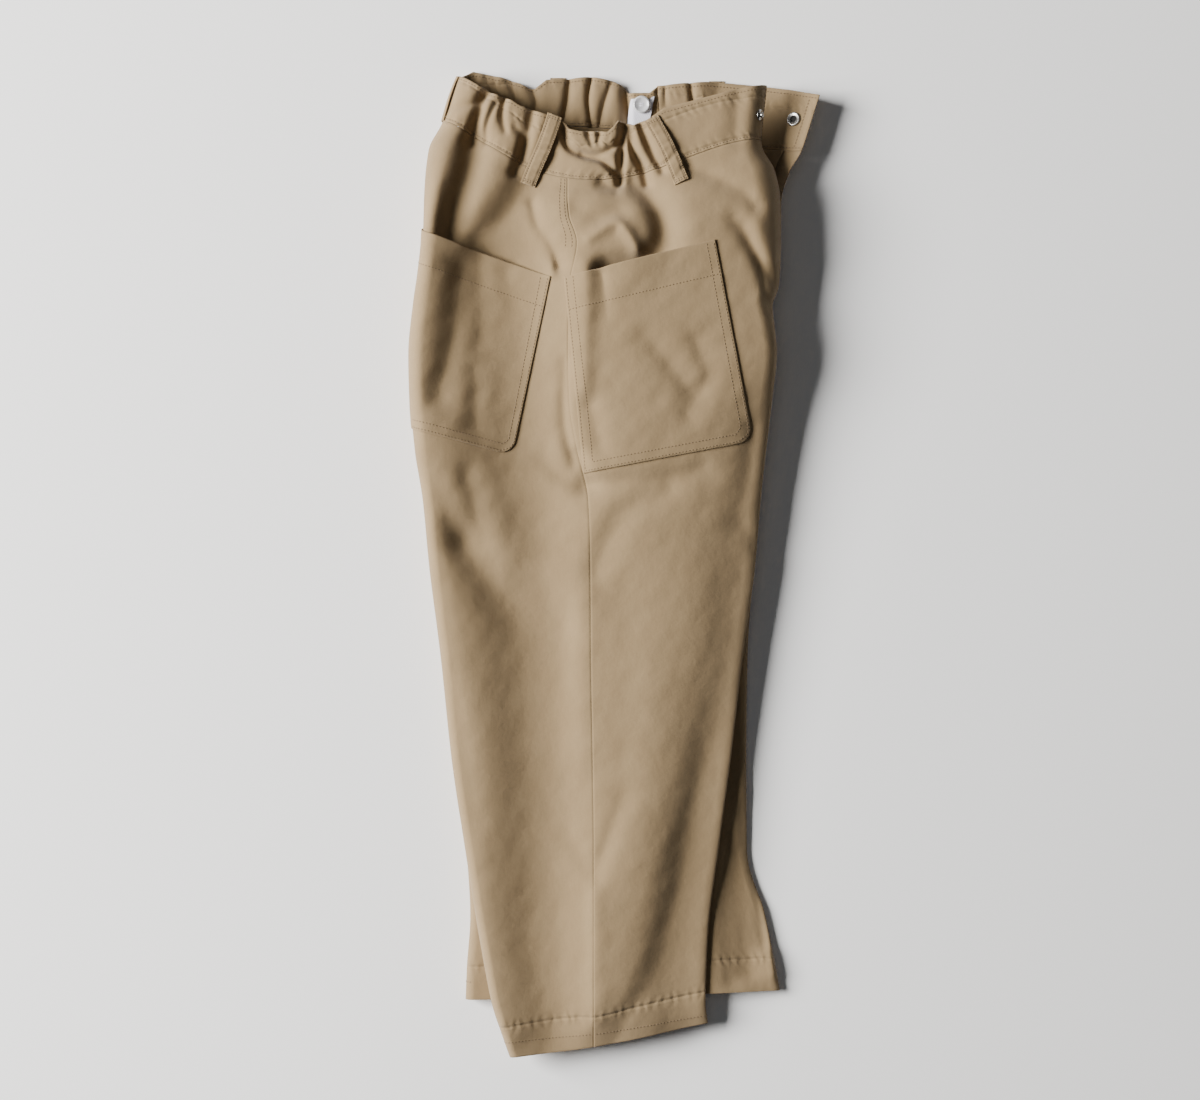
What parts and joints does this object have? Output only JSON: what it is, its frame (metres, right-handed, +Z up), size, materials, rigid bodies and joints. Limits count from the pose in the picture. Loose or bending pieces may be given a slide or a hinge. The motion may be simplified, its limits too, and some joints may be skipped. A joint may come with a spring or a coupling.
{
  "type": "sailor pants",
  "caption": "Cropped wide cotton sailor trousers with elastic-gathered waist, patch pockets and a ring snap, lying flat on one side.",
  "frame": {"origin": "centre of the garment's bounding box on the surface it lies on", "axes": "+X from the centre back to the fly, +Y from the hems to the waist, +Z up from the surface"},
  "size_m": [0.3714, 0.8874, 0.0606],
  "materials": {
    "cotton_twill": "khaki cotton twill, matt with a faint sheen",
    "white_elastic": "woven elastic tape",
    "clear_button": "clear polished",
    "snap_steel": "nickel-coloured snap"
  },
  "bodies": {
    "root": {"panel_front_right": "cotton_twill", "panel_back_right": "cotton_twill", "panel_front_left": "cotton_twill", "panel_back_left": "cotton_twill", "waistband_front_right": "cotton_twill", "waistband_back_right": "cotton_twill", "waistband_front_left": "cotton_twill", "waistband_back_left": "cotton_twill", "pocket_front_right": "cotton_twill", "pocket_back_right": "cotton_twill", "belt_loop_side_right": "cotton_twill", "belt_loop_front_right": "cotton_twill", "belt_loop_side_left": "cotton_twill", "belt_loop_front_left": "cotton_twill", "belt_loop_back": "cotton_twill", "fly_facing_left": "cotton_twill", "elastic_tape": "white_elastic", "elastic_button": "clear_button", "snap_socket": "snap_steel", "snap_cap": "snap_steel", "snap_stud": "snap_steel"}
  },
  "joints": []
}
